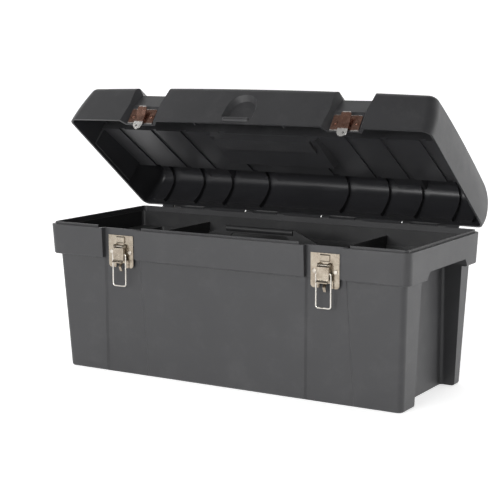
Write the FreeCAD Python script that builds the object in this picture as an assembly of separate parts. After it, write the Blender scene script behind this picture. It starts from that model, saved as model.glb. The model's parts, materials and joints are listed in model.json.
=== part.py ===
"""Carpenter's toolbox: a moulded tub, a hinged lid with a folding handle, a lift-out tray
and two sheet-metal draw latches.

Millimetres. X runs along the length, +Y is the hinge side, +Z is up.
The origin is the centre of the flat base. The lid is drawn closed and then swung open to
its rest angle, because the box is stored standing open.
"""
import FreeCAD, Part
import math
import os

from FreeCAD import Vector

# ---------------------------------------------------------------- driving dimensions
LENGTH = 610.0              # over the collar
DEPTH = 250.0               # over the collar, front to rear
RIM_Z = 226.0               # top of the tub's shoulder, where the lid sits
COLLAR_Z = 180.0            # underside of the collar
BASE_HALF_X = 286.4         # tub at the floor
BASE_HALF_Y = 103.8
NECK_HALF_X = 294.4         # tub just under the collar
NECK_HALF_Y = 114.4
COLLAR_DRAFT = 2.1          # how much narrower the collar is at its underside, each side
WALL = 3.0
FLOOR = 4.0
LIP_INSET = 5.0             # locating lip inside the shoulder
LIP_WALL = 2.4
LIP_HEIGHT = 3.5
LIP_GAP_HALF = 40.0          # the lip stops short of each latch
LIP_GAP_DEPTH_Y = 108.0
TUB_CORNER = 9.0
COLLAR_CORNER = 12.0

LATCH_X = 174.0             # latches stand at + and - this
LATCH_PLANE_Y = -116.0      # flat that the latch parts are riveted to
LATCH_RECESS_HALF = 30.0
CHANNEL_TOP_HALF = 33.0
CHANNEL_BASE_HALF = 40.0
CHANNEL_DEPTH = 2.2
CHANNEL_SLOPE = 1.5          # run of its side walls, mm per mm of depth

HANDHOLD_X = 264.0          # back wall of the recess in each end
HANDHOLD_FRONT_Y = -62.0
HANDHOLD_REAR_Y = 79.5
HANDHOLD_TOP_Z = 192.0
HANDHOLD_STEP = 10.0        # slanted corner where the collar steps up over the recess

HINGE_Y = 137.4
HINGE_Z = 226.5
HINGE_ROD_R = 2.0
RUNNING_GAP = 0.05
KNUCKLE_R = 4.6
KNUCKLE_CENTRES = (-210.0, -70.0, 70.0, 210.0)
LID_KNUCKLE_HALF = 22.0
APRON_HALF_X = 268.0
TUB_KNUCKLE_WIDTH = 14.0
KNUCKLE_GAP = 0.5
LID_OPEN_DEG = 37.2         # rest angle of the lid, measured from closed

LID_SEAT_Z = 226.6          # lid rim when closed
LID_FRONT_Y = -128.0
LID_REAR_RIM_Y = 131.0
LID_REAR_Y = 141.0
LID_REAR_BULGE_Z = 36.0     # the rear wall bulges out most at this height
LID_REAR_LOW_R = 69.8       # roundings of the rear wall, below and above the bulge
LID_REAR_TOP_R = 28.0
LID_HALF_X = 307.0
LID_END_LEAN = 0.02         # inward lean of the ends, mm per mm of height
LID_END_CURVE = 0.0025      # and how fast it grows
LID_FRONT_LEAN = 0.12
LID_CROWN = 3.5             # bow of the front edge
LID_CORNER = 15.0
LID_DOME_FRONT = (-130.0, 63.5)
LID_DOME_TOP = (30.0, 75.0)
LID_DOME_REAR = (112.0, 71.2)
LID_ARCH_RISE = 3.5         # how much the top rises from the ends to the middle
LID_TOP_FILLET = 10.0
LID_SKIRT_LOW = -12.0       # construction depth below the rim

TROUGH_FRONT_Y = -47.0      # long trough in the lid's top
TROUGH_REAR_Y = 69.0
TROUGH_FLOOR_FRONT_Z = 35.2
TROUGH_FLOOR_REAR_Z = 44.0
TROUGH_HALF_X = 280.0
WELL_HALF_X = 97.0          # finger well under the handle
WELL_FRONT_Y = -46.0
WELL_REAR_Y = 24.0
WELL_FLOOR_Z = 29.0
WELL_SLOPE = 8.0
GRIP_SLOT_HALF = 80.0       # deeper slot under the folded grip
GRIP_SLOT_REAR_Y = -24.0
GRIP_SLOT_FLOOR_Z = 24.5

HANDLE_PIVOT_Y = 8.0
HANDLE_PIVOT_Z = 48.0
HANDLE_REACH = 44.0
HANDLE_GRIP_R = 8.0
HANDLE_EYE_R = 7.0
HANDLE_PIN_R = 3.0
HANDLE_ARM_INNER_X = 68.0
HANDLE_ARM_OUTER_X = 79.0
HANDLE_LUG_WIDTH = 8.0
HANDLE_SIDE_GAP = 0.6

TRAY_HALF_X = 296.0
TRAY_HALF_Y = 110.0
TRAY_TOP_Z = 222.0
TRAY_SHELF_Z = 195.3        # underside of the shallow ends, which rest on the handhold tops
TRAY_DEEP_HALF_X = 258.0
TRAY_DEEP_Z = 175.0
TRAY_WALL = 2.4
TRAY_FLANGE = 4.0

PLATE = 1.2                 # sheet steel of the latch parts
BASE_PLATE_HALF = 22.5
BASE_PLATE_LOW_Z = 167.0
BASE_PLATE_TOP_Z = 216.0
NOTCH_TOP_Z = 174.0
LEVER_PIN_OUT = 4.4         # lever pin, measured out from the latch flat
LEVER_PIN_Z = 199.5
LEVER_PIN_R = 1.2
BAIL_PIVOT_OUT = 5.6
BAIL_PIVOT_Z = 188.0
BAIL_WIRE_R = 1.1
BAIL_HALF = 11.6
BAIL_REACH = 48.4
LEVER_HALF = 9.5
KEEPER_HALF = 22.5
KEEPER_HEIGHT = 27.0
KEEPER_HOOK_HALF = 8.0
RIVET_SPREAD = 16.5
RIVET_SHANK_R = 1.7
RIVET_HOLE_R = 1.75
RIVET_HEAD_R = 3.2
RIVET_HEAD = 1.1
WASHER_R = 4.5
WASHER = 0.8

SIDES = (("left", -1.0), ("right", 1.0))


# ---------------------------------------------------------------- small shape helpers
def box(x0, x1, y0, y1, z0, z1):
    return Part.makeBox(x1 - x0, y1 - y0, z1 - z0, Vector(x0, y0, z0))


def prism_x(points, x0, x1):
    """Extrude a closed outline given as (y, z) from x0 to x1."""
    loop = [Vector(x0, y, z) for y, z in points]
    face = Part.Face(Part.makePolygon(loop + loop[:1]))
    return face.extrude(Vector(x1 - x0, 0, 0))


def prism_y(points, y0, y1):
    """Extrude a closed outline given as (x, z) from y0 to y1."""
    loop = [Vector(x, y0, z) for x, z in points]
    face = Part.Face(Part.makePolygon(loop + loop[:1]))
    return face.extrude(Vector(0, y1 - y0, 0))


def rod_x(y, z, radius, x0, x1):
    return Part.makeCylinder(radius, x1 - x0, Vector(x0, y, z), Vector(1, 0, 0))


def rod_y(x, z, radius, y0, y1):
    return Part.makeCylinder(radius, y1 - y0, Vector(x, y0, z), Vector(0, 1, 0))


def fuse(shapes):
    first, *others = shapes
    return first.fuse(others).removeSplitter() if others else first


def mirrored(shape):
    return shape.mirror(Vector(0, 0, 0), Vector(1, 0, 0))


def moved(shape, dx=0.0, dy=0.0, dz=0.0):
    copy = shape.copy()
    copy.translate(Vector(dx, dy, dz))
    return copy


def plan_wire(half_x, y_front, y_rear, corner, z, crown=0.0):
    """Rounded rectangle seen from above; the front edge bows out by crown in its middle."""
    diagonal = corner * (1.0 - math.sqrt(0.5))
    left, right = -half_x, half_x
    side_front = y_front + crown

    def arc(a, b, c):
        return Part.Arc(*[Vector(x, y, z) for x, y in (a, b, c)]).toShape()

    def line(a, b):
        return Part.makeLine(Vector(a[0], a[1], z), Vector(b[0], b[1], z))

    front_left = (left + corner, side_front)
    front_right = (right - corner, side_front)
    if crown:
        front = arc(front_left, (0.0, y_front), front_right)
    else:
        front = line(front_left, front_right)
    return Part.Wire([
        front,
        arc(front_right, (right - diagonal, side_front + diagonal), (right, side_front + corner)),
        line((right, side_front + corner), (right, y_rear - corner)),
        arc((right, y_rear - corner), (right - diagonal, y_rear - diagonal), (right - corner, y_rear)),
        line((right - corner, y_rear), (left + corner, y_rear)),
        arc((left + corner, y_rear), (left + diagonal, y_rear - diagonal), (left, y_rear - corner)),
        line((left, y_rear - corner), (left, side_front + corner)),
        arc((left, side_front + corner), (left + diagonal, side_front + diagonal), front_left),
    ])


def loft(*wires):
    return Part.makeLoft(list(wires), True, True)


def fillet_where(shape, radius, test):
    edges = [edge for edge in shape.Edges if test(edge.BoundBox)]
    return shape.makeFillet(radius, edges)


def front_y(out):
    """Y of a point that stands this far out from the latch flat."""
    return LATCH_PLANE_Y - out


# ---------------------------------------------------------------- tub
def tub_body(inset, z_low, z_high):
    """The tapered lower body, inset from its outer face."""
    def wire(z):
        share = z / COLLAR_Z
        half_x = BASE_HALF_X + (NECK_HALF_X - BASE_HALF_X) * share - inset
        half_y = BASE_HALF_Y + (NECK_HALF_Y - BASE_HALF_Y) * share - inset
        return plan_wire(half_x, -half_y, half_y, TUB_CORNER - min(inset, WALL), z)
    return loft(wire(z_low), wire(z_high))


def tub_collar():
    half_x, half_y = LENGTH / 2, DEPTH / 2
    low_x, low_y = half_x - COLLAR_DRAFT, half_y - COLLAR_DRAFT
    collar = loft(plan_wire(low_x, -low_y, low_y, COLLAR_CORNER, COLLAR_Z),
                  plan_wire(half_x, -half_y, half_y, COLLAR_CORNER, RIM_Z))
    edge_round = 2.5
    collar = fillet_where(collar, edge_round, lambda b: b.ZMax < COLLAR_Z + 0.1)
    lip_x, lip_y = half_x - LIP_INSET, half_y - LIP_INSET
    lip = loft(plan_wire(lip_x, -lip_y, lip_y, COLLAR_CORNER - LIP_INSET, RIM_Z - 1.0),
               plan_wire(lip_x, -lip_y, lip_y, COLLAR_CORNER - LIP_INSET, RIM_Z + LIP_HEIGHT))
    return fuse([collar, lip])


def channel_prism(extra):
    """The shallow upright channel under the right-hand latch; its side walls slope inwards."""
    def outline(y):
        def half(z):
            share = z / COLLAR_Z
            skin_y = -BASE_HALF_Y - (NECK_HALF_Y - BASE_HALF_Y) * share
            return (CHANNEL_BASE_HALF + (CHANNEL_TOP_HALF - CHANNEL_BASE_HALF) * share + extra
                    - CHANNEL_SLOPE * (y - skin_y))
        low, top = -1.0, COLLAR_Z + 1.0
        return Part.makePolygon([Vector(LATCH_X - half(low), y, low), Vector(LATCH_X + half(low), y, low),
                                 Vector(LATCH_X + half(top), y, top), Vector(LATCH_X - half(top), y, top),
                                 Vector(LATCH_X - half(low), y, low)])
    return loft(outline(-DEPTH / 2), outline(-BASE_HALF_Y + CHANNEL_DEPTH + WALL + 1.0))


def handhold_block(grow):
    """What the right-hand end recess takes away; grow makes the wall that backs it."""
    front, rear = HANDHOLD_FRONT_Y - grow, HANDHOLD_REAR_Y + grow
    top, step = HANDHOLD_TOP_Z + grow, HANDHOLD_STEP
    low = -1.0 - grow
    block = prism_x([(front, low), (rear, low), (rear, top - step),
                     (rear - step * 0.8, top), (front + step * 0.8, top), (front, top - step)],
                    HANDHOLD_X - grow, LENGTH / 2 + 20.0)
    inner_round = 5.0 + grow
    x_back = HANDHOLD_X - grow
    return fillet_where(block, inner_round,
                        lambda b: b.XMax < x_back + 0.1 and b.ZMin > low - 0.1 and b.ZMax > low + 1.0
                        and b.ZMin < top - step - 1.0 and b.YLength < 0.1)


def finger_scoop():
    """Lens-shaped dish at the middle of the collar's front, over a faint hollow that runs out downwards."""
    cup_r, cup_low, cup_top_depth, cup_low_depth = 60.0, 14.0, 5.2, 1.9
    hollow_r, hollow_depth = 120.0, 2.0
    face_y = -DEPTH / 2
    low = Part.makeCircle(cup_r, Vector(0, face_y + cup_low_depth - cup_r, RIM_Z - cup_low))
    top = Part.makeCircle(cup_r, Vector(0, face_y + cup_top_depth - cup_r, RIM_Z + 3.0))
    hollow = Part.makeCylinder(hollow_r, RIM_Z - COLLAR_Z,
                               Vector(0, face_y + hollow_depth - hollow_r, COLLAR_Z + 3.0))
    return loft(Part.Wire(low), Part.Wire(top)).fuse(hollow)


def tub_knuckles():
    """Pairs of knuckles, each pair either side of one of the lid's."""
    offset = LID_KNUCKLE_HALF + KNUCKLE_GAP
    knuckles = []
    for centre in KNUCKLE_CENTRES:
        for start in (centre - offset - TUB_KNUCKLE_WIDTH, centre + offset):
            end = start + TUB_KNUCKLE_WIDTH
            barrel = rod_x(HINGE_Y, HINGE_Z, KNUCKLE_R, start, end)
            web = prism_x([(DEPTH / 2 - 3.0, RIM_Z - 16.0), (DEPTH / 2 - 0.5, RIM_Z - 16.0),
                           (HINGE_Y + 1.5, HINGE_Z - KNUCKLE_R + 0.4), (HINGE_Y, HINGE_Z),
                           (HINGE_Y - KNUCKLE_R + 0.2, RIM_Z), (DEPTH / 2 - 3.0, RIM_Z)], start, end)
            knuckles.append(barrel.fuse(web))
    return knuckles


def make_tub():
    base_round = 4.0
    body = fillet_where(tub_body(0.0, 0.0, COLLAR_Z + 2.0), base_round, lambda b: b.ZMax < 0.1)
    outer = body.fuse(tub_collar())
    liner_half_x = LENGTH / 2 - LIP_INSET - LIP_WALL
    liner_half_y = DEPTH / 2 - LIP_INSET - LIP_WALL
    liner_corner = COLLAR_CORNER - LIP_INSET - 1.0
    cavity = fuse([
        tub_body(WALL, FLOOR, COLLAR_Z + 4.0),
        loft(plan_wire(liner_half_x, -liner_half_y, liner_half_y, liner_corner, COLLAR_Z + 3.0),
             plan_wire(liner_half_x, -liner_half_y, liner_half_y, liner_corner, RIM_Z + 10.0)),
    ])
    recessed = tub_body(CHANNEL_DEPTH, -2.0, COLLAR_Z + 2.0)
    recessed_inside = tub_body(CHANNEL_DEPTH + WALL, -2.0, COLLAR_Z + 5.0)
    cuts, keeps = [finger_scoop()], []
    for flip in (False, True):
        channel = channel_prism(0.0).cut(recessed)
        backing = channel_prism(WALL * math.hypot(1.0, CHANNEL_SLOPE)).cut(recessed_inside)
        pocket = box(LATCH_X - LATCH_RECESS_HALF, LATCH_X + LATCH_RECESS_HALF,
                     -DEPTH / 2 - 5.0, LATCH_PLANE_Y, COLLAR_Z - 1.0, RIM_Z + 10.0)
        pocket_wall = box(LATCH_X - LATCH_RECESS_HALF - WALL, LATCH_X + LATCH_RECESS_HALF + WALL,
                          -DEPTH / 2, LATCH_PLANE_Y + WALL, COLLAR_Z - 3.0, RIM_Z)
        lip_gap = box(LATCH_X - LIP_GAP_HALF, LATCH_X + LIP_GAP_HALF, -DEPTH / 2, -LIP_GAP_DEPTH_Y,
                      RIM_Z, RIM_Z + 10.0)
        for piece, group in ((channel, cuts), (pocket, cuts), (lip_gap, cuts), (handhold_block(0.0), cuts),
                             (backing, keeps), (pocket_wall, keeps), (handhold_block(WALL), keeps)):
            group.append(mirrored(piece) if flip else piece)
    cavity = cavity.cut(keeps)
    tub = outer.cut(cavity).cut(cuts)
    tub = tub.fuse(tub_knuckles())
    bores = [rod_x(HINGE_Y, HINGE_Z, HINGE_ROD_R + RUNNING_GAP, -LENGTH / 2, LENGTH / 2)]
    bores += [rod_y(side * LATCH_X + dx, LATCH_RIVET_Z, RIVET_HOLE_R, -DEPTH / 2, LATCH_PLANE_Y + 10.0)
              for _, side in SIDES for dx in (-RIVET_SPREAD, RIVET_SPREAD)]
    return tub.cut(bores).removeSplitter()


# ---------------------------------------------------------------- lid, drawn with its rim at z = 0
def lid_section(inset):
    """Side outline of the lid from the dome's front end round to the rear wall, as a face."""
    rear_y = LID_REAR_Y - inset
    top_r, low_r = LID_REAR_TOP_R - inset, LID_REAR_LOW_R - inset
    start, middle, end = [Vector(0, y, z - inset) for y, z in
                          (LID_DOME_FRONT, LID_DOME_TOP, LID_DOME_REAR)]
    top_centre_z = end.z - top_r
    corner = top_r * math.sqrt(0.5)
    shoulder = Vector(0, rear_y, top_centre_z)
    knee = Vector(0, rear_y, LID_REAR_BULGE_Z)
    drop = LID_REAR_BULGE_Z - LID_SKIRT_LOW

    def on_low_arc(depth):
        return Vector(0, rear_y - low_r + math.sqrt(low_r ** 2 - depth ** 2), LID_REAR_BULGE_Z - depth)
    foot = on_low_arc(drop)
    edges = [
        Part.Arc(start, middle, end).toShape(),
        Part.makeLine(end, Vector(0, rear_y - top_r, end.z)),
        Part.Arc(Vector(0, rear_y - top_r, end.z), Vector(0, rear_y - top_r + corner, top_centre_z + corner),
                 shoulder).toShape(),
        Part.makeLine(shoulder, knee),
        Part.Arc(knee, on_low_arc(drop * 0.6), foot).toShape(),
        Part.makeLine(foot, Vector(0, start.y, LID_SKIRT_LOW)),
        Part.makeLine(Vector(0, start.y, LID_SKIRT_LOW), start),
    ]
    return Part.Face(Part.Wire([edge for edge in edges if edge.Length > 0.01]))


def lid_block(inset, rounded=True):
    """The solid block of the lid, inset from its outer face."""
    def wire(z):
        return plan_wire(LID_HALF_X - inset - LID_END_LEAN * z - LID_END_CURVE * z ** 2,
                         LID_FRONT_Y + inset + LID_FRONT_LEAN * z,
                         LID_REAR_Y + 30.0, LID_CORNER - inset, z, LID_CROWN)
    walls = Part.makeLoft([wire(z) for z in (LID_SKIRT_LOW, 14.0, 46.0, 90.0)], True, False)
    arch_radius = LID_HALF_X ** 2 / (2 * LID_ARCH_RISE)
    arch_deg = math.degrees(LID_HALF_X / arch_radius) * 1.1
    section = lid_section(inset)
    section.translate(Vector(0, 0, LID_ARCH_RISE))
    pivot = Vector(0, 0, -arch_radius)
    section.rotate(pivot, Vector(0, 1, 0), -arch_deg)
    arch = section.revolve(pivot, Vector(0, 1, 0), 2 * arch_deg)
    floor = box(-LENGTH, LENGTH, -LENGTH, LENGTH, LID_SKIRT_LOW - 30.0, LID_SKIRT_LOW + 10.0)
    block = walls.common(arch)
    if rounded:
        block = fillet_where(block, LID_TOP_FILLET - inset,
                             lambda b: b.ZMin > 40.0 or (b.YMin > 90.0 and b.YLength > 1.0 and b.ZLength > 20.0)
                             or (b.YMin > LID_REAR_Y - inset - 0.5 and b.ZLength > 5.0))
    return block.cut(floor)


def groove_tool(grow):
    """Flared groove over the front of the lid for the right-hand latch."""
    flat_y, sill_z = LATCH_PLANE_Y + grow, 60.0 - grow
    floor = [(flat_y, LID_SKIRT_LOW - 1.0), (flat_y, 33.0 - grow * 0.5), (-105.0 + grow * 0.7, sill_z),
             (TROUGH_FRONT_Y + 2.0, sill_z)]
    shoulder = [(y - 14.0, z + (14.0 if z > 40.0 else 0.0)) for y, z in floor[:3]]
    shoulder.append((TROUGH_FRONT_Y + 2.0, sill_z + 15.0))
    outside = [(TROUGH_FRONT_Y + 2.0, 110.0), (-160.0, 110.0), (-160.0, LID_SKIRT_LOW - 1.0)]
    floor_half, top_half = 24.0 + grow, 33.5 + grow
    middle = prism_x(floor + outside, LATCH_X - floor_half, LATCH_X + floor_half)

    def loop(points, x):
        corners = [Vector(x, y, z) for y, z in points + outside]
        return Part.makePolygon(corners + corners[:1])
    flares = [loft(loop(floor, LATCH_X + sign * floor_half), loop(shoulder, LATCH_X + sign * top_half))
              for sign in (-1.0, 1.0)]
    return fuse([middle] + flares)


def rear_groove_tool(grow):
    """The same groove where it leaves over the rear of the lid."""
    sill_z = 64.0 - grow
    outline = [(LATCH_X - 20.0 - grow, sill_z), (LATCH_X + 20.0 + grow, sill_z),
               (LATCH_X + 33.0 + grow, 80.0), (LATCH_X - 33.0 - grow, 80.0)]
    return prism_y(outline, TROUGH_REAR_Y - 2.0, LID_REAR_Y + 20.0)


def thumb_scoop(grow):
    """Arched finger pull with sloping sides at the middle of the lid's front."""
    half, height, sill, depth, draft, outside = 26.5 + grow, 55.0 + grow, 12.0 - grow, 8.0 + grow, 0.8, 6.0

    def arch(y):
        reach, top = half - draft * y, height - draft * y
        side, shoulder = reach * 0.96, top - reach * 0.9
        corners = [Vector(side, y, shoulder), Vector(reach, y, sill), Vector(-reach, y, sill),
                   Vector(-side, y, shoulder)]
        lines = [Part.makeLine(a, b) for a, b in zip(corners, corners[1:])]
        return Part.Wire(lines + [Part.Arc(corners[3], Vector(0, y, top), corners[0]).toShape()])
    scoop = loft(arch(-outside), arch(depth))
    scoop.rotate(Vector(0, 0, 0), Vector(1, 0, 0), -math.degrees(math.atan(LID_FRONT_LEAN)))
    return moved(scoop, dy=LID_FRONT_Y)


def scoop_lip():
    """Rounded bar along the foot of the finger pull."""
    radius, half = 4.4, 23.0
    bar = rod_x(LID_FRONT_Y + 2.9, 7.2, radius, -half, half)
    return bar.makeFillet(radius - 0.6, [edge for edge in bar.Edges if edge.BoundBox.XLength < 0.1])


def trough_tool():
    """Long trough in the lid's top, with the finger well in its middle."""
    trough = prism_x([(TROUGH_FRONT_Y, TROUGH_FLOOR_FRONT_Z), (TROUGH_REAR_Y, TROUGH_FLOOR_REAR_Z),
                      (TROUGH_REAR_Y + 4.0, 110.0), (TROUGH_FRONT_Y - 4.0, 110.0)],
                     -TROUGH_HALF_X, TROUGH_HALF_X)
    well = prism_y([(-WELL_HALF_X + WELL_SLOPE, WELL_FLOOR_Z), (WELL_HALF_X - WELL_SLOPE, WELL_FLOOR_Z),
                    (WELL_HALF_X, 50.0), (-WELL_HALF_X, 50.0)], WELL_FRONT_Y, WELL_REAR_Y)
    slot = box(-GRIP_SLOT_HALF, GRIP_SLOT_HALF, WELL_FRONT_Y, GRIP_SLOT_REAR_Y, GRIP_SLOT_FLOOR_Z, 50.0)
    return trough.fuse([well, slot])


GROOVES_X = (73.0, 144.0, 200.0, 261.0)     # joints between the lid's inner panels
GROOVE_HALF = 5.0
PANEL_PROUD = 7.0
BELT_PROUD = 2.5


def panel_spans():
    """X spans of the lid's inner panels, left to right, with the flare at each edge."""
    edges = [-288.0]
    for x in sorted([-g for g in GROOVES_X] + list(GROOVES_X)):
        edges += [x - GROOVE_HALF, x + GROOVE_HALF]
    edges.append(288.0)
    return list(zip(edges[0::2], edges[1::2]))


def rear_panels():
    """Raised panels on the inside of the lid's rear wall, their top corners cut off."""
    flare, low, top = 5.0, 6.0, 65.0
    knee = top - 21.0
    core = lid_block(WALL + PANEL_PROUD, rounded=False)
    outlines = [[(x0, low), (x1, low), (x1, knee), (x1 - flare, top), (x0 + flare, top), (x0, knee)]
                for x0, x1 in panel_spans()]
    return [prism_y(outline, 100.0, LID_REAR_Y).cut(core) for outline in outlines]


def belt_block():
    """The underside of the trough, which hangs into the lid from end to end."""
    front, rear = TROUGH_FRONT_Y - WALL, TROUGH_REAR_Y + WALL
    low_front, low_rear = TROUGH_FLOOR_FRONT_Z - WALL, TROUGH_FLOOR_REAR_Z - WALL

    def slab(x0, x1, lift):
        return prism_x([(front, low_front + lift), (rear, low_rear + lift),
                        (rear + 2.0, 110.0), (front - 2.0, 110.0)], x0, x1)
    panels = [slab(x0, x1, 0.0) for x0, x1 in panel_spans()]
    panels[0] = slab(-LENGTH, panel_spans()[0][1], 0.0)
    panels[-1] = slab(panel_spans()[-1][0], LENGTH, 0.0)
    well_low = WELL_FLOOR_Z - WALL
    well = prism_y([(-WELL_HALF_X + WELL_SLOPE - WALL, well_low), (WELL_HALF_X - WELL_SLOPE + WALL, well_low),
                    (WELL_HALF_X + WALL, 50.0), (-WELL_HALF_X - WALL, 50.0)],
                   WELL_FRONT_Y - WALL, WELL_REAR_Y + WALL)
    slot_half = GRIP_SLOT_HALF + WALL
    slot = box(-slot_half, slot_half, WELL_FRONT_Y - WALL, GRIP_SLOT_REAR_Y + WALL,
               GRIP_SLOT_FLOOR_Z - WALL, 50.0)
    return fuse([slab(-LENGTH, LENGTH, BELT_PROUD), well, slot] + panels)


def end_pad():
    """Thicker patch on the inside of the right-hand end wall, under the belt."""
    thick = 2.5
    inner = LID_HALF_X - WALL - thick
    low, high = 5.0, 45.0
    fall = LID_END_LEAN * high + LID_END_CURVE * high ** 2
    return prism_y([(inner, low), (LENGTH, low), (LENGTH, high), (inner - fall, high)],
                   TROUGH_FRONT_Y - 1.0, 64.0)


def lid_knuckles():
    axis_z = HINGE_Z - LID_SEAT_Z
    knuckles = []
    for centre in KNUCKLE_CENTRES:
        start, end = centre - LID_KNUCKLE_HALF, centre + LID_KNUCKLE_HALF
        barrel = rod_x(HINGE_Y, axis_z, KNUCKLE_R, start, end)
        web = prism_x([(LID_REAR_RIM_Y - 1.5, 0.0), (HINGE_Y, axis_z), (HINGE_Y + KNUCKLE_R - 0.3, axis_z + 1.0),
                       (LID_REAR_Y - 1.5, 22.0), (LID_REAR_Y - 4.5, 22.0)], start, end)
        knuckles.append(barrel.fuse(web))
    return knuckles


def rear_aprons():
    """Strips under the lid's rear edge that close the slit beside the hinge, between the knuckles."""
    margin = 0.35
    stops = [-APRON_HALF_X]
    for centre in KNUCKLE_CENTRES:
        reach = LID_KNUCKLE_HALF + KNUCKLE_GAP + TUB_KNUCKLE_WIDTH + margin
        stops += [centre - reach, centre + reach]
    stops.append(APRON_HALF_X)
    outline = [(LID_REAR_RIM_Y - WALL, 1.0), (LID_REAR_RIM_Y, 1.0), (LID_REAR_RIM_Y, -4.5),
               (LID_REAR_RIM_Y - 1.6, -5.5)]
    return [prism_x(outline, x0, x1) for x0, x1 in zip(stops[0::2], stops[1::2])]


def handle_lugs():
    """Two ears in the well that carry the handle's pins."""
    inner = HANDLE_ARM_OUTER_X + HANDLE_SIDE_GAP
    low = WELL_FLOOR_Z - 1.0
    lug = prism_x([(HANDLE_PIVOT_Y - 11.0, low), (HANDLE_PIVOT_Y + 11.0, low),
                   (HANDLE_PIVOT_Y + 6.5, HANDLE_PIVOT_Z), (HANDLE_PIVOT_Y - 6.5, HANDLE_PIVOT_Z)],
                  inner, inner + HANDLE_LUG_WIDTH)
    lug = lug.fuse(rod_x(HANDLE_PIVOT_Y, HANDLE_PIVOT_Z, 6.5, inner, inner + HANDLE_LUG_WIDTH))
    return [lug, mirrored(lug)]


def front_tabs():
    """Small stiffening tabs inside the front skirt."""
    return [box(x - 1.5, x + 1.5, LID_FRONT_Y + 2.0, LID_FRONT_Y + 15.0, 4.0, 12.0)
            for x in (-76.0, 76.0)]


def make_lid():
    outer = lid_block(0.0).cut(box(-LENGTH, LENGTH, -DEPTH, DEPTH, LID_SKIRT_LOW - 5.0, 0.0))
    cavity = lid_block(WALL)
    grooves = [groove_tool(0.0), rear_groove_tool(0.0)]
    groove_walls = [groove_tool(WALL), rear_groove_tool(WALL)]
    cuts = [trough_tool(), thumb_scoop(0.0)] + grooves + [mirrored(g) for g in grooves]
    keeps = [belt_block(), thumb_scoop(WALL), end_pad(), mirrored(end_pad())]
    keeps += groove_walls + [mirrored(g) for g in groove_walls]
    keeps += rear_panels()
    lid = outer.cut(cavity.cut(keeps)).cut(cuts)
    lid = lid.fuse(lid_knuckles() + rear_aprons() + handle_lugs() + front_tabs() + [scoop_lip()])
    axis_z = HINGE_Z - LID_SEAT_Z
    bores = [rod_x(HINGE_Y, axis_z, HINGE_ROD_R + RUNNING_GAP, -LENGTH / 2, LENGTH / 2)]
    bores += [rod_x(HANDLE_PIVOT_Y, HANDLE_PIVOT_Z, HANDLE_PIN_R + RUNNING_GAP, -HANDLE_LUG_OUTER_X,
                    HANDLE_LUG_OUTER_X)]
    bores += [rod_y(side * LATCH_X + dx, KEEPER_RIVET_Z, RIVET_HOLE_R, -DEPTH / 2 - 10.0, LATCH_PLANE_Y + 10.0)
              for _, side in SIDES for dx in (-RIVET_SPREAD, RIVET_SPREAD)]
    return lid.cut(bores).removeSplitter()


HANDLE_LUG_OUTER_X = HANDLE_ARM_OUTER_X + HANDLE_SIDE_GAP + HANDLE_LUG_WIDTH
LATCH_RIVET_Z = 190.5
KEEPER_RIVET_Z = 14.0


# ---------------------------------------------------------------- lid handle
def make_handle():
    """U-shaped handle, folded forward into the trough."""
    grip_y = HANDLE_PIVOT_Y - HANDLE_REACH
    grip_z = HANDLE_PIVOT_Z + 1.0
    end_round = 4.0
    grip = rod_x(grip_y, grip_z, HANDLE_GRIP_R, -HANDLE_ARM_OUTER_X, HANDLE_ARM_OUTER_X)
    grip = grip.makeFillet(end_round, [e for e in grip.Edges if e.BoundBox.XLength < 0.1])
    arm = fuse([
        prism_x([(HANDLE_PIVOT_Y, HANDLE_PIVOT_Z - 5.5), (HANDLE_PIVOT_Y, HANDLE_PIVOT_Z + 5.5),
                 (grip_y, grip_z + 6.0), (grip_y, grip_z - 6.0)], HANDLE_ARM_INNER_X, HANDLE_ARM_OUTER_X),
        rod_x(HANDLE_PIVOT_Y, HANDLE_PIVOT_Z, HANDLE_EYE_R, HANDLE_ARM_INNER_X, HANDLE_ARM_OUTER_X),
    ])
    handle = fuse([grip, arm, mirrored(arm)])
    bore = rod_x(HANDLE_PIVOT_Y, HANDLE_PIVOT_Z, HANDLE_PIN_R + RUNNING_GAP, -LENGTH / 2, LENGTH / 2)
    return handle.cut(bore)


def make_handle_pin():
    """Headed pin through the right-hand lug and arm."""
    shank = rod_x(HANDLE_PIVOT_Y, HANDLE_PIVOT_Z, HANDLE_PIN_R, HANDLE_ARM_INNER_X - 1.0,
                  HANDLE_LUG_OUTER_X + 0.5)
    head = rod_x(HANDLE_PIVOT_Y, HANDLE_PIVOT_Z, 5.0, HANDLE_LUG_OUTER_X, HANDLE_LUG_OUTER_X + 1.6)
    return shank.fuse(head).removeSplitter()


# ---------------------------------------------------------------- hinge rod
def rod_end_x():
    return KNUCKLE_CENTRES[-1] + LID_KNUCKLE_HALF + KNUCKLE_GAP + TUB_KNUCKLE_WIDTH


def make_hinge_rod():
    reach = rod_end_x() + 3.0
    return rod_x(HINGE_Y, HINGE_Z, HINGE_ROD_R, -reach, reach)


def make_rod_caps():
    """Push-on caps that stop the rod sliding out."""
    start = rod_end_x() + 0.3
    cap = rod_x(HINGE_Y, HINGE_Z, 3.8, start, start + 4.2)
    cap = cap.cut(rod_x(HINGE_Y, HINGE_Z, HINGE_ROD_R, start - 1.0, rod_end_x() + 3.0))
    return Part.makeCompound([cap, mirrored(cap)])


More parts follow.
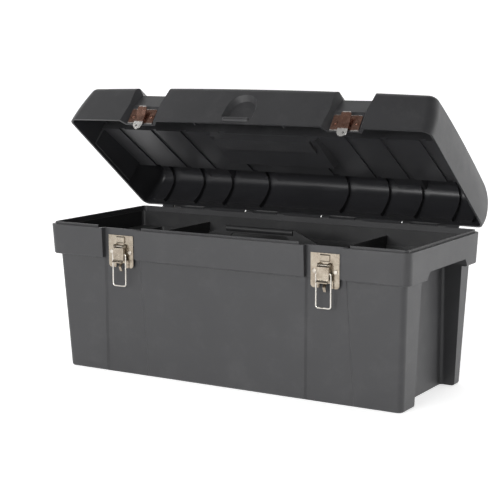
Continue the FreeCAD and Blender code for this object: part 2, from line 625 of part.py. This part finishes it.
# ---------------------------------------------------------------- tray
def tray_form(inset, lift):
    """Stepped block: deep in the middle, shallow over the handholds."""
    half_y = TRAY_HALF_Y - inset
    high = TRAY_TOP_Z + (10.0 if inset else 0.0)
    corner = 8.0 - inset
    shallow = loft(plan_wire(TRAY_HALF_X - inset, -half_y, half_y, corner, TRAY_SHELF_Z + lift),
                   plan_wire(TRAY_HALF_X - inset, -half_y, half_y, corner, high))
    deep_x, deep_y = TRAY_DEEP_HALF_X - inset, TRAY_HALF_Y - 1.0 - inset
    draft = 3.0
    deep = loft(plan_wire(deep_x - draft, -deep_y + draft, deep_y - draft, corner, TRAY_DEEP_Z + lift),
                plan_wire(deep_x, -deep_y, deep_y, corner, high - 2.0))
    return shallow.fuse(deep).removeSplitter()


def make_tray():
    tray = tray_form(0.0, 0.0).cut(tray_form(TRAY_WALL, TRAY_WALL))
    inner_y = TRAY_HALF_Y - 1.0
    spine_top = TRAY_TOP_Z + 3.0
    grip_half, slot_half = 85.0, 52.0
    spine = prism_y([(-grip_half - 22.0, TRAY_DEEP_Z), (grip_half + 22.0, TRAY_DEEP_Z),
                     (grip_half + 14.0, TRAY_TOP_Z - 14.0), (slot_half + 10.0, spine_top),
                     (-slot_half - 10.0, spine_top), (-grip_half - 14.0, TRAY_TOP_Z - 14.0)], -1.4, 1.4)
    slot = box(-slot_half, slot_half, -10.0, 10.0, TRAY_TOP_Z - 28.0, TRAY_TOP_Z - 6.0)
    slot = slot.makeFillet(9.0, [e for e in slot.Edges if e.BoundBox.YLength > 15.0])
    grip = rod_x(0.0, spine_top - 3.5, 4.5, -slot_half - 6.0, slot_half + 6.0)
    cross = [box(x - 1.0, x + 1.0, -inner_y, inner_y, TRAY_DEEP_Z + 1.0, TRAY_TOP_Z - 10.0)
             for x in (-TRAY_DEEP_HALF_X * 0.62, TRAY_DEEP_HALF_X * 0.62)]
    block = tray_form(0.0, 0.0)
    ribs = [rib.common(block) for rib in cross]
    tray = tray.fuse(ribs + [spine.cut(slot)]).fuse(grip)
    return tray.removeSplitter()


# ---------------------------------------------------------------- latches, drawn for the right side
def rivet_pair(head_y, z, grip):
    """Two domed rivets through plate, wall and washer."""
    rivets = []
    for dx in (-RIVET_SPREAD, RIVET_SPREAD):
        shank = rod_y(LATCH_X + dx, z, RIVET_SHANK_R, head_y, head_y + grip)
        head = rod_y(LATCH_X + dx, z, RIVET_HEAD_R, head_y - RIVET_HEAD, head_y)
        head = head.makeFillet(RIVET_HEAD * 0.8, [e for e in head.Edges if e.BoundBox.YMax < head_y - 0.5])
        tail = rod_y(LATCH_X + dx, z, RIVET_HEAD_R * 0.85, head_y + grip, head_y + grip + RIVET_HEAD)
        rivets.append(fuse([head, shank, tail]))
    return Part.makeCompound(rivets)


def washer_pair(y, z):
    washers = [rod_y(LATCH_X + dx, z, WASHER_R, y, y + WASHER).cut(
        rod_y(LATCH_X + dx, z, RIVET_HOLE_R, y - 1.0, y + 2.0)) for dx in (-RIVET_SPREAD, RIVET_SPREAD)]
    return Part.makeCompound(washers)


def rivet_holes(z):
    return [rod_y(LATCH_X + dx, z, RIVET_HOLE_R, front_y(10.0), LATCH_PLANE_Y + 1.0)
            for dx in (-RIVET_SPREAD, RIVET_SPREAD)]


def eye(x0, x1, pin_out, pin_z, radius, root_out, root_low, root_high):
    """An ear that reaches out from root_out and wraps round a pin."""
    web = prism_x([(front_y(root_out), root_low), (front_y(root_out), root_high),
                   (front_y(pin_out), pin_z + radius), (front_y(pin_out), pin_z - radius)], x0, x1)
    return web.fuse(rod_x(front_y(pin_out), pin_z, radius, x0, x1))


def make_latch_base():
    plate = box(LATCH_X - BASE_PLATE_HALF, LATCH_X + BASE_PLATE_HALF, front_y(PLATE), front_y(0.0),
                BASE_PLATE_LOW_Z, BASE_PLATE_TOP_Z)
    plate = fillet_where(plate, 5.0, lambda b: b.YLength > 1.0 and b.ZMax < BASE_PLATE_LOW_Z + 0.1
                         and b.XLength < 0.1)
    notch = box(LATCH_X - 8.5, LATCH_X + 8.5, front_y(5.0), front_y(-1.0), BASE_PLATE_LOW_Z - 1.0,
                NOTCH_TOP_Z)
    boss = prism_x([(front_y(PLATE), 204.0), (front_y(PLATE + 1.4), 205.5),
                    (front_y(PLATE + 1.4), 213.0), (front_y(PLATE), 214.5)], LATCH_X - 7.5, LATCH_X + 7.5)
    # padlock staple: a narrow tongue pushed out of the notch
    top = NOTCH_TOP_Z + 0.5
    staple = prism_x([(front_y(0.0), top), (front_y(PLATE), top), (front_y(4.6), top - 6.1),
                      (front_y(1.6), top - 12.9), (front_y(0.4), top - 12.3), (front_y(3.1), top - 6.3),
                      (front_y(0.0), top - 1.3)], LATCH_X - 2.2, LATCH_X + 2.2)
    ears = [eye(LATCH_X + x0, LATCH_X + x0 + PLATE, LEVER_PIN_OUT, LEVER_PIN_Z, 2.9, PLATE - 0.2,
                LEVER_PIN_Z - 5.0, LEVER_PIN_Z + 4.0) for x0 in (-7.8, 6.6)]
    base = fuse([plate.cut(notch), boss, staple] + ears)
    holes = rivet_holes(LATCH_RIVET_Z)
    holes.append(rod_x(front_y(LEVER_PIN_OUT), LEVER_PIN_Z, LEVER_PIN_R + RUNNING_GAP,
                       LATCH_X - 12.0, LATCH_X + 12.0))
    return base.cut(holes).removeSplitter()


def make_lever_pin():
    y = front_y(LEVER_PIN_OUT)
    shank = rod_x(y, LEVER_PIN_Z, LEVER_PIN_R, LATCH_X - 9.8, LATCH_X + 9.8)
    heads = [rod_x(y, LEVER_PIN_Z, 1.9, LATCH_X + x0, LATCH_X + x0 + 0.7) for x0 in (-10.4, 9.7)]
    return fuse([shank] + heads)


def make_lever():
    """Sheet lever between the bail's legs, with a curled finger lip."""
    face_out, lip_r = 7.2, 3.6
    face_top, face_low = LEVER_PIN_Z - 2.0, LEVER_PIN_Z - 19.5
    face = box(LATCH_X - LEVER_HALF, LATCH_X + LEVER_HALF, front_y(face_out + PLATE), front_y(face_out),
               face_low, face_top)
    flanges = []
    for x0 in (-LEVER_HALF, LEVER_HALF - PLATE):
        a, b = LATCH_X + x0, LATCH_X + x0 + PLATE
        cheek = prism_x([(front_y(LEVER_PIN_OUT - 2.7), LEVER_PIN_Z), (front_y(LEVER_PIN_OUT + 2.0), LEVER_PIN_Z + 1.0),
                         (front_y(face_out + PLATE), face_top), (front_y(face_out + PLATE), BAIL_PIVOT_Z - 5.5),
                         (front_y(BAIL_PIVOT_OUT - 2.0), BAIL_PIVOT_Z - 2.5)], a, b)
        flanges.append(fuse([cheek, rod_x(front_y(LEVER_PIN_OUT), LEVER_PIN_Z, 2.9, a, b),
                             rod_x(front_y(BAIL_PIVOT_OUT), BAIL_PIVOT_Z, 2.8, a, b)]))
    curl_out = face_out + PLATE + lip_r
    ring = rod_x(front_y(curl_out), face_low, lip_r + PLATE, LATCH_X - LEVER_HALF, LATCH_X + LEVER_HALF)
    ring = ring.cut(rod_x(front_y(curl_out), face_low, lip_r, LATCH_X - 20.0, LATCH_X + 20.0))
    keep = box(LATCH_X - 20.0, LATCH_X + 20.0, front_y(curl_out + 1.6), front_y(0.0), face_low - 10.0, face_low)
    lever = fuse([face, ring.common(keep)] + flanges)
    bores = [rod_x(front_y(LEVER_PIN_OUT), LEVER_PIN_Z, LEVER_PIN_R + RUNNING_GAP, LATCH_X - 20.0, LATCH_X + 20.0),
             rod_x(front_y(BAIL_PIVOT_OUT), BAIL_PIVOT_Z, BAIL_WIRE_R + RUNNING_GAP, LATCH_X - 20.0, LATCH_X + 20.0)]
    return lever.cut(bores).removeSplitter()


def make_bail():
    """Wire loop that hangs from the lever and reaches up to the keeper."""
    y = front_y(BAIL_PIVOT_OUT)
    low = BAIL_PIVOT_Z - BAIL_REACH
    toe, top_bend, low_bend = 7.4, 1.8, 3.5

    def at(x, z):
        return Vector(LATCH_X + x, y, z)

    def corner(x, z, dx, dz, radius):
        """Arc round the corner at x, z; dx and dz point along the two straights that leave it."""
        near = radius * (1.0 - math.sqrt(0.5))
        return (at(x + dx * radius, z), at(x + dx * near, z + dz * near), at(x, z + dz * radius))
    left_top = corner(-BAIL_HALF, BAIL_PIVOT_Z, 1.0, -1.0, top_bend)
    left_low = corner(-BAIL_HALF, low, 1.0, 1.0, low_bend)
    right_low = corner(BAIL_HALF, low, -1.0, 1.0, low_bend)
    right_top = corner(BAIL_HALF, BAIL_PIVOT_Z, -1.0, -1.0, top_bend)
    path = Part.Wire([
        Part.makeLine(at(-toe, BAIL_PIVOT_Z), left_top[0]),
        Part.Arc(*left_top).toShape(),
        Part.makeLine(left_top[2], left_low[2]),
        Part.Arc(*left_low[::-1]).toShape(),
        Part.makeLine(left_low[0], right_low[0]),
        Part.Arc(*right_low).toShape(),
        Part.makeLine(right_low[2], right_top[2]),
        Part.Arc(*right_top[::-1]).toShape(),
        Part.makeLine(right_top[0], at(toe, BAIL_PIVOT_Z)),
    ])
    section = Part.Wire(Part.makeCircle(BAIL_WIRE_R, at(-toe, BAIL_PIVOT_Z), Vector(1, 0, 0)))
    return path.makePipeShell([section], True, False)


def make_keeper():
    """Plate on the lid with a standing hook and a round-ended tab that hangs below the rim."""
    plate = box(LATCH_X - KEEPER_HALF, LATCH_X + KEEPER_HALF, front_y(PLATE), front_y(0.0), 1.0, KEEPER_HEIGHT)
    plate = fillet_where(plate, 3.0, lambda b: b.YLength > 1.0 and b.ZMin > KEEPER_HEIGHT - 0.1
                         and b.XLength < 0.1)
    half = KEEPER_HOOK_HALF
    post = box(LATCH_X - half, LATCH_X + half, front_y(4.6), front_y(PLATE - 0.1), 3.4, 7.9)
    strip = prism_x([(front_y(4.4), 3.4), (front_y(5.6), 3.4), (front_y(5.8), 12.0), (front_y(9.6), 27.6),
                     (front_y(8.5), 28.0), (front_y(4.6), 12.0)], LATCH_X - half, LATCH_X + half)
    crop = prism_y([(LATCH_X - half, 0.0), (LATCH_X + half, 0.0), (LATCH_X + half, 25.0),
                    (LATCH_X + half - 2.5, 28.5), (LATCH_X - half + 2.5, 28.5), (LATCH_X - half, 25.0)],
                   front_y(20.0), front_y(0.0))
    tab = prism_x([(front_y(4.4), 4.0), (front_y(5.6), 4.0), (front_y(4.0), -12.0), (front_y(2.8), -12.0)],
                  LATCH_X - half, LATCH_X + half)
    tab_end = rod_y(LATCH_X, -2.5, half, front_y(20.0), front_y(0.0))
    tab_top = box(LATCH_X - half, LATCH_X + half, front_y(20.0), front_y(0.0), -2.5, 5.0)
    tab = tab.common(tab_end.fuse(tab_top))
    keeper = fuse([plate, post, strip.common(crop), tab])
    hole = rod_y(LATCH_X + 2.0, -4.5, 1.6, front_y(20.0), front_y(0.0))
    return keeper.cut(rivet_holes(KEEPER_RIVET_Z) + [hole]).removeSplitter()


# ---------------------------------------------------------------- assembly
def closed_to_rest(shape):
    """Seat a shape drawn in the lid's frame on the tub, then swing it to the rest angle."""
    placed = moved(shape, dz=LID_SEAT_Z)
    placed.rotate(Vector(0, HINGE_Y, HINGE_Z), Vector(-1, 0, 0), LID_OPEN_DEG)
    return placed


def build():
    nodes = {
        "tub": make_tub(),
        "hinge_rod": make_hinge_rod(),
        "hinge_rod_caps": make_rod_caps(),
        "tray": make_tray(),
        "lid": closed_to_rest(make_lid()),
        "lid_handle": closed_to_rest(make_handle()),
    }
    wall_back = LATCH_PLANE_Y + WALL
    grip = PLATE + WALL + WASHER
    fixed = {
        "latch_base": make_latch_base(),
        "lever_pin": make_lever_pin(),
        "latch_lever": make_lever(),
        "latch_bail": make_bail(),
        "latch_rivets": rivet_pair(front_y(PLATE), LATCH_RIVET_Z, grip),
        "latch_washers": washer_pair(wall_back, LATCH_RIVET_Z),
    }
    lidded = {
        "keeper": make_keeper(),
        "keeper_rivets": rivet_pair(front_y(PLATE), KEEPER_RIVET_Z, grip),
        "keeper_washers": washer_pair(wall_back, KEEPER_RIVET_Z),
        "handle_pin": make_handle_pin(),
    }
    for side, sign in SIDES:
        for name, shape in fixed.items():
            nodes[f"{name}_{side}"] = shape if sign > 0 else mirrored(shape)
        for name, shape in lidded.items():
            nodes[f"{name}_{side}"] = closed_to_rest(shape if sign > 0 else mirrored(shape))
    return nodes


os.makedirs("parts", exist_ok=True)
for node, shape in build().items():
    box_mm = shape.BoundBox
    print(f"{node:22s} valid {shape.isValid()} solids {len(shape.Solids)} volume {shape.Volume:11.1f} "
          f"x {box_mm.XMin:7.1f} {box_mm.XMax:7.1f} y {box_mm.YMin:7.1f} {box_mm.YMax:7.1f} "
          f"z {box_mm.ZMin:7.1f} {box_mm.ZMax:7.1f}")
    shape.exportStep(f"parts/{node}.step")
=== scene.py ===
"""Looks of the carpenter's toolbox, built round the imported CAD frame. Metres throughout."""

import json
import math

import bpy
from mathutils import Matrix, Vector

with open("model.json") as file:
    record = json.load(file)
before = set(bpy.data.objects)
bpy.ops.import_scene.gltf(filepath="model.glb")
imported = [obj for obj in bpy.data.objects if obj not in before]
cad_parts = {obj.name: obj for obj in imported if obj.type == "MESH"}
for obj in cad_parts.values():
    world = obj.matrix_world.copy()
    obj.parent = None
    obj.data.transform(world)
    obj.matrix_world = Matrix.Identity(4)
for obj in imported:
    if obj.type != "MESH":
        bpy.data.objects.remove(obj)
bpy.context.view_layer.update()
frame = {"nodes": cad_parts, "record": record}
nodes = frame["nodes"]

# Camera: angles in degrees, azimuth counted round from the front
CAMERA_POSITION = Vector((1.048, -1.760, 0.505))
CAMERA_AZIMUTH = 31.19
CAMERA_ELEVATION = 8.70
CAMERA_ROLL = -0.16
CAMERA_LENS_MM = 98.5
CAMERA_SENSOR_MM = 36.0

# The lid as it stands at rest
LID_OPEN = math.radians(37.2)
LID_RIM_POINT = (0.0, 0.1374, 0.2265)       # on the hinge's line, which lies in the plane of the rim
LID_MIDDLE = (0.0, 0.045, 0.325)            # middle of the lid's hollow

# Finish inside the lid: glossy, with colours darkened below the moulding's own as painted shade
INSIDE_ROUGHNESS = 0.33
INSIDE_SHADED_DARK = (0.017, 0.017, 0.019)
INSIDE_SHADED_LIGHT = (0.024, 0.024, 0.0265)

# Mouldings: dark, light and dusty colour, roughness, strength of the grain, sheen, middle of the smooth
# hollow whose faces get painted shade
PLASTICS = {
    "tub_plastic": ((0.033, 0.033, 0.035), (0.038, 0.038, 0.0403), (0.070, 0.070, 0.071),
                    0.44, 1.0, 0.04, None),
    "lid_plastic": ((0.020, 0.020, 0.0215), (0.027, 0.027, 0.029), (0.070, 0.070, 0.071),
                    0.42, 0.9, 0.03, LID_MIDDLE),
    "tray_plastic": ((0.016, 0.016, 0.017), (0.023, 0.023, 0.024), (0.060, 0.060, 0.059),
                     0.42, 0.7, 0.02, None),
    "handle_plastic": ((0.013, 0.013, 0.014), (0.020, 0.020, 0.021), (0.06, 0.06, 0.059),
                       0.38, 0.6, 0.02, None),
}

# Plated steel: bright and dull colour, roughness, strength of the rolling lines
STEELS = {
    "latch_plate": ((0.38, 0.335, 0.275), (0.235, 0.195, 0.15), 0.20, 0.25),
    "bail_wire": ((0.72, 0.69, 0.64), (0.48, 0.45, 0.40), 0.24, 0.20),
    "rivet_steel": ((0.60, 0.56, 0.50), (0.36, 0.32, 0.27), 0.30, 0.35),
}
DULL_SPOT = (0.30, 0.24, 0.18)

# The keepers' plates are tarnished between these heights over the lid's rim. Below them the polished tab
# is bright, and above them the top edges are painted bright as a painted highlight
TARNISH_STARTS = (0.0012, 0.0030)
TARNISH_ENDS = (0.0262, 0.0269)
TARNISH_LIGHT = (0.34, 0.20, 0.155)
TARNISH_DARK = (0.17, 0.085, 0.06)
KEEPER_POLISH_AND_HIGHLIGHT = (0.93, 0.91, 0.88)

# Studio
STAGE_GLOW = 0.62
WORLD_LOW = 0.42            # brightness of the surroundings near the horizon
WORLD_HIGH = 0.25           # and overhead

# Area lights: position, target, size, watts
TOOLBOX_MIDDLE = (0.0, 0.0, 0.2)
LIGHTS = {
    "front_fill": ((-0.2, -2.8, 0.85), TOOLBOX_MIDDLE, (1.6, 0.6), 50.0),
    "left_key": ((-2.3, -1.0, 1.5), TOOLBOX_MIDDLE, (1.0, 1.0), 9.0),
    "right_rim": ((1.85, 0.95, 0.36), (0.3, 0.1, 0.18), (0.5, 0.5), 11.0),
}


# ---------------------------------------------------------------- camera
def add_camera():
    azimuth, elevation = math.radians(CAMERA_AZIMUTH), math.radians(CAMERA_ELEVATION)
    back = Vector((math.sin(azimuth) * math.cos(elevation),
                   -math.cos(azimuth) * math.cos(elevation), math.sin(elevation)))
    right = Vector((0.0, 0.0, 1.0)).cross(back).normalized()
    up = back.cross(right)
    turn = Matrix((right, up, back)).transposed().to_4x4()
    data = bpy.data.cameras.new("camera")
    data.lens = CAMERA_LENS_MM
    data.sensor_width = CAMERA_SENSOR_MM
    camera = bpy.data.objects.new("camera", data)
    camera.matrix_world = (Matrix.Translation(CAMERA_POSITION) @ turn
                           @ Matrix.Rotation(math.radians(CAMERA_ROLL), 4, "Z"))
    bpy.context.scene.collection.objects.link(camera)
    bpy.context.scene.camera = camera


# ---------------------------------------------------------------- materials
class Tree:
    """Short names for building one material's node tree. Scales are features per metre."""

    def __init__(self, name):
        self.material = bpy.data.materials.new(name)
        self.material.use_nodes = True
        self.nodes = self.material.node_tree.nodes
        self.links = self.material.node_tree.links
        self.shader = self.nodes["Principled BSDF"]
        self.place = self.nodes.new("ShaderNodeTexCoord").outputs["Object"]

    def link(self, output, socket):
        self.links.new(output, socket)

    def scaled(self, x, y, z):
        """Object coordinates stretched by x, y, z."""
        node = self.nodes.new("ShaderNodeMapping")
        node.inputs["Scale"].default_value = (x, y, z)
        self.link(self.place, node.inputs["Vector"])
        return node.outputs["Vector"]

    def noise(self, scale, detail, roughness=0.5, vector=None, distortion=0.0):
        node = self.nodes.new("ShaderNodeTexNoise")
        node.inputs["Scale"].default_value = scale
        node.inputs["Detail"].default_value = detail
        node.inputs["Roughness"].default_value = roughness
        node.inputs["Distortion"].default_value = distortion
        self.link(vector or self.place, node.inputs["Vector"])
        return node.outputs["Fac"]

    def cells(self, scale):
        """Distance from the middle of soft-edged cells."""
        node = self.nodes.new("ShaderNodeTexVoronoi")
        node.feature = "SMOOTH_F1"
        node.inputs["Scale"].default_value = scale
        self.link(self.place, node.inputs["Vector"])
        return node.outputs["Distance"]

    def span(self, value, low, high, out_low, out_high):
        """The value's range low..high mapped to out_low..out_high, and held there beyond it."""
        node = self.nodes.new("ShaderNodeMapRange")
        node.inputs["From Min"].default_value = low
        node.inputs["From Max"].default_value = high
        node.inputs["To Min"].default_value = out_low
        node.inputs["To Max"].default_value = out_high
        self.link(value, node.inputs["Value"])
        return node.outputs["Result"]

    def maths(self, operation, a, b):
        node = self.nodes.new("ShaderNodeMath")
        node.operation = operation
        for socket, value in zip(node.inputs, (a, b)):
            if isinstance(value, (int, float)):
                socket.default_value = value
            else:
                self.link(value, socket)
        return node.outputs[0]

    def blend(self, share, a, b):
        """Colour between a and b; each is a colour tuple or an output."""
        node = self.nodes.new("ShaderNodeMix")
        node.data_type = "RGBA"
        self.link(share, node.inputs["Factor"])
        for socket, value in zip((node.inputs[6], node.inputs[7]), (a, b)):
            if isinstance(value, tuple):
                socket.default_value = (*value, 1.0)
            else:
                self.link(value, socket)
        return node.outputs[2]

    def bump(self, height, strength, distance, normal=None):
        node = self.nodes.new("ShaderNodeBump")
        node.inputs["Strength"].default_value = strength
        node.inputs["Distance"].default_value = distance
        self.link(height, node.inputs["Height"])
        if normal is not None:
            self.link(normal, node.inputs["Normal"])
        return node.outputs["Normal"]

    def constants(self, **values):
        """Values that are the same all over, set on the shader's own sockets."""
        for name, value in values.items():
            self.shader.inputs[name.replace("_", " ")].default_value = value

    def rolled(self, lines_strength):
        """Normal of rolled sheet: fine lines along X over gentle waves."""
        lines = self.noise(900.0, 2.0, 0.5, self.scaled(0.06, 1.0, 1.0))
        wave = self.bump(self.noise(55.0, 2.0), 0.12, 0.0008)
        return self.bump(lines, lines_strength, 0.00004, wave)


def inside_mask(t, centre):
    """1 on faces that look towards the centre of a hollow moulding, 0 on its outside."""
    away = t.nodes.new("ShaderNodeVectorMath")
    away.operation = "SUBTRACT"
    t.link(t.place, away.inputs[0])
    away.inputs[1].default_value = centre
    facing = t.nodes.new("ShaderNodeVectorMath")
    facing.operation = "DOT_PRODUCT"
    t.link(away.outputs["Vector"], facing.inputs[0])
    t.link(t.place.node.outputs["Normal"], facing.inputs[1])
    return t.maths("LESS_THAN", facing.outputs["Value"], 0.0)


def moulded_plastic(name, dark, light, dusty, roughness, grain, sheen, smooth_shaded_centre):
    """Grained moulding: fine pebble, cloudy tone, dusty patches and hair-thin scuffs.

    If a middle for a smooth hollow is given, the faces towards it are left glossy and clean, as inside
    the lid, and get darker colours as painted shade.
    """
    t = Tree(name)
    cloud = t.span(t.noise(7.0, 4.0, 0.6), 0.32, 0.68, 0.0, 1.0)
    colour = t.blend(cloud, dark, light)
    dust = t.span(t.noise(26.0, 6.0, 0.72), 0.50, 0.78, 0.0, 0.35)
    colour = t.blend(dust, colour, dusty)
    streaks = t.noise(60.0, 2.0, 0.5, t.scaled(0.35, 0.35, 9.0), 0.6)
    scuff = t.span(streaks, 0.70, 0.76, 0.0, 0.30)
    patch = t.span(t.noise(9.0, 1.0), 0.55, 0.65, 0.0, 1.0)
    colour = t.blend(t.maths("MULTIPLY", scuff, patch), colour, dusty)
    tone = t.span(t.noise(14.0, 5.0, 0.65), 0.3, 0.7, roughness - 0.05, roughness + 0.07)
    pebble = t.span(t.cells(1500.0), 0.0, 0.7, 0.0, 1.0)
    mottle = t.noise(2300.0, 2.0)
    sunk = t.noise(11.0, 1.0)
    if smooth_shaded_centre:
        inside = inside_mask(t, smooth_shaded_centre)
        outside = t.maths("SUBTRACT", 1.0, inside)
        tone = t.maths("ADD", t.maths("MULTIPLY", tone, outside),
                       t.maths("MULTIPLY", inside, INSIDE_ROUGHNESS))
        sunk = t.maths("MULTIPLY", sunk, outside)
        pebble = t.maths("MULTIPLY", pebble, outside)
        mottle = t.maths("MULTIPLY", mottle, outside)
        # Faces inside the lid take darker colours here: painted shade.
        colour = t.blend(inside, colour, t.blend(cloud, INSIDE_SHADED_DARK, INSIDE_SHADED_LIGHT))
    t.link(colour, t.shader.inputs["Base Color"])
    t.link(tone, t.shader.inputs["Roughness"])
    soft = t.bump(mottle, 0.25 * grain, 0.00010)
    fine = t.bump(pebble, 0.5 * grain, 0.00012, soft)
    sink = t.bump(sunk, 0.10, 0.0012, fine)
    t.link(sink, t.shader.inputs["Normal"])
    t.constants(Sheen_Weight=sheen, Sheen_Roughness=0.5, Specular_IOR_Level=0.42)
    return t.material


def plated_steel(name, bright, dull, roughness, scratch):
    """Bright plate: rolling lines, random patches of brighter and duller colour, and a few dull spots."""
    t = Tree(name)
    patchiness = t.span(t.noise(70.0, 5.0, 0.7), 0.40, 0.72, 0.0, 1.0)
    colour = t.blend(patchiness, bright, dull)
    spots = t.span(t.noise(420.0, 3.0, 0.6), 0.66, 0.74, 0.0, 0.55)
    t.link(t.blend(spots, colour, DULL_SPOT), t.shader.inputs["Base Color"])
    tone = t.span(t.noise(95.0, 4.0, 0.7), 0.3, 0.75, roughness - 0.04, roughness + 0.14)
    t.link(tone, t.shader.inputs["Roughness"])
    t.link(t.rolled(scratch), t.shader.inputs["Normal"])
    t.constants(Metallic=1.0)
    return t.material


def keeper_steel():
    """Tarnished plate with a polished tab: the tab hangs in front of the lid's rim. The plate's top edges
    are painted bright, a painted highlight.
    """
    t = Tree("keeper_plate")
    turn = t.nodes.new("ShaderNodeMapping")
    turn.vector_type = "TEXTURE"
    turn.inputs["Location"].default_value = LID_RIM_POINT
    turn.inputs["Rotation"].default_value = (-LID_OPEN, 0.0, 0.0)
    t.link(t.place, turn.inputs["Vector"])
    split = t.nodes.new("ShaderNodeSeparateXYZ")
    t.link(turn.outputs["Vector"], split.inputs[0])
    height = t.maths("ADD", split.outputs[2],
                     t.span(t.noise(260.0, 2.0), 0.3, 0.7, -0.0006, 0.0006))
    # Bright below the tarnish is the polished tab; bright above it is a painted highlight on the top
    # edges.
    tarnish = t.maths("MULTIPLY", t.span(height, *TARNISH_STARTS, 0.0, 1.0),
                      t.span(height, *TARNISH_ENDS, 1.0, 0.0))
    patchiness = t.span(t.noise(160.0, 5.0, 0.7), 0.38, 0.70, 0.0, 1.0)
    brown = t.blend(patchiness, TARNISH_LIGHT, TARNISH_DARK)
    t.link(t.blend(tarnish, KEEPER_POLISH_AND_HIGHLIGHT, brown), t.shader.inputs["Base Color"])
    tone = t.span(t.noise(95.0, 4.0, 0.7), 0.3, 0.75, 0.18, 0.34)
    t.link(tone, t.shader.inputs["Roughness"])
    t.link(t.rolled(0.25), t.shader.inputs["Normal"])
    t.constants(Metallic=1.0)
    return t.material


def build_materials():
    materials = {name: moulded_plastic(name, *values) for name, values in PLASTICS.items()}
    materials.update({name: plated_steel(name, *values) for name, values in STEELS.items()})
    materials["keeper_plate"] = keeper_steel()
    return materials


def paint_frame(materials):
    """Each CAD node gets its slot's material, and the keepers and their rivets get their own."""
    slots = {part["node"]: part["material_slot"] for part in frame["record"]["subparts"]}
    for name, node in nodes.items():
        keeper = name.startswith(("keeper_left", "keeper_right", "keeper_rivets"))
        node.data.materials.clear()
        node.data.materials.append(materials["keeper_plate" if keeper else slots[name]])


# ---------------------------------------------------------------- stage
def stage_material():
    """Pale paper that glows a little, so that it stays white in the weak light round the object."""
    t = Tree("backdrop")
    tone = t.span(t.noise(1.3, 2.0), 0.3, 0.7, 0.84, 0.86)
    mix = t.nodes.new("ShaderNodeCombineColor")
    for socket in mix.inputs:
        t.link(tone, socket)
    t.link(mix.outputs[0], t.shader.inputs["Base Color"])
    t.constants(Roughness=0.9, Specular_IOR_Level=0.1, Emission_Color=(1.0, 1.0, 1.0, 1.0),
                Emission_Strength=STAGE_GLOW)
    return t.material


def add_stage():
    """A pale floor that sweeps up behind into a backdrop, square to the camera's azimuth."""
    half, front_y, back_y, radius, height, steps = 20.0, -20.0, 5.0, 2.5, 9.0, 16
    profile = [(front_y, 0.0), (back_y - radius, 0.0)]
    for i in range(1, steps + 1):
        bend = math.radians(90.0 * i / steps)
        profile.append((back_y - radius + radius * math.sin(bend), radius * (1.0 - math.cos(bend))))
    profile.append((back_y, height))
    turn = Matrix.Rotation(math.radians(CAMERA_AZIMUTH), 4, "Z")
    points = [turn @ Vector((x, y, z)) for y, z in profile for x in (-half, half)]
    faces = [(2 * i, 2 * i + 1, 2 * i + 3, 2 * i + 2) for i in range(len(profile) - 1)]
    mesh = bpy.data.meshes.new("floor")
    mesh.from_pydata(points, [], faces)
    mesh.polygons.foreach_set("use_smooth", [True] * len(faces))
    mesh.materials.append(stage_material())
    floor = bpy.data.objects.new("floor", mesh)
    bpy.context.scene.collection.objects.link(floor)


def add_world():
    """Even grey surroundings, darker overhead."""
    world = bpy.data.worlds.new("studio")
    world.use_nodes = True
    nodes, links = world.node_tree.nodes, world.node_tree.links
    place = nodes.new("ShaderNodeTexCoord")
    split = nodes.new("ShaderNodeSeparateXYZ")
    fade = nodes.new("ShaderNodeMapRange")
    fade.inputs["To Min"].default_value = WORLD_LOW
    fade.inputs["To Max"].default_value = WORLD_HIGH
    links.new(place.outputs["Generated"], split.inputs[0])
    links.new(split.outputs[2], fade.inputs["Value"])
    links.new(fade.outputs["Result"], nodes["Background"].inputs["Strength"])
    nodes["Background"].inputs["Color"].default_value = (1.0, 1.0, 1.0, 1.0)
    bpy.context.scene.world = world


def add_area(name, position, target, size, power):
    data = bpy.data.lights.new(name, "AREA")
    data.shape = "RECTANGLE"
    data.size, data.size_y = size
    data.energy = power
    light = bpy.data.objects.new(name, data)
    place = Vector(position)
    light.matrix_world = (Matrix.Translation(place)
                          @ (place - Vector(target)).to_track_quat("Z", "Y").to_matrix().to_4x4())
    bpy.context.scene.collection.objects.link(light)


add_camera()
paint_frame(build_materials())
add_stage()
add_world()
for light_name, light_values in LIGHTS.items():
    add_area(light_name, *light_values)
bpy.context.scene.view_settings.view_transform = "Standard"
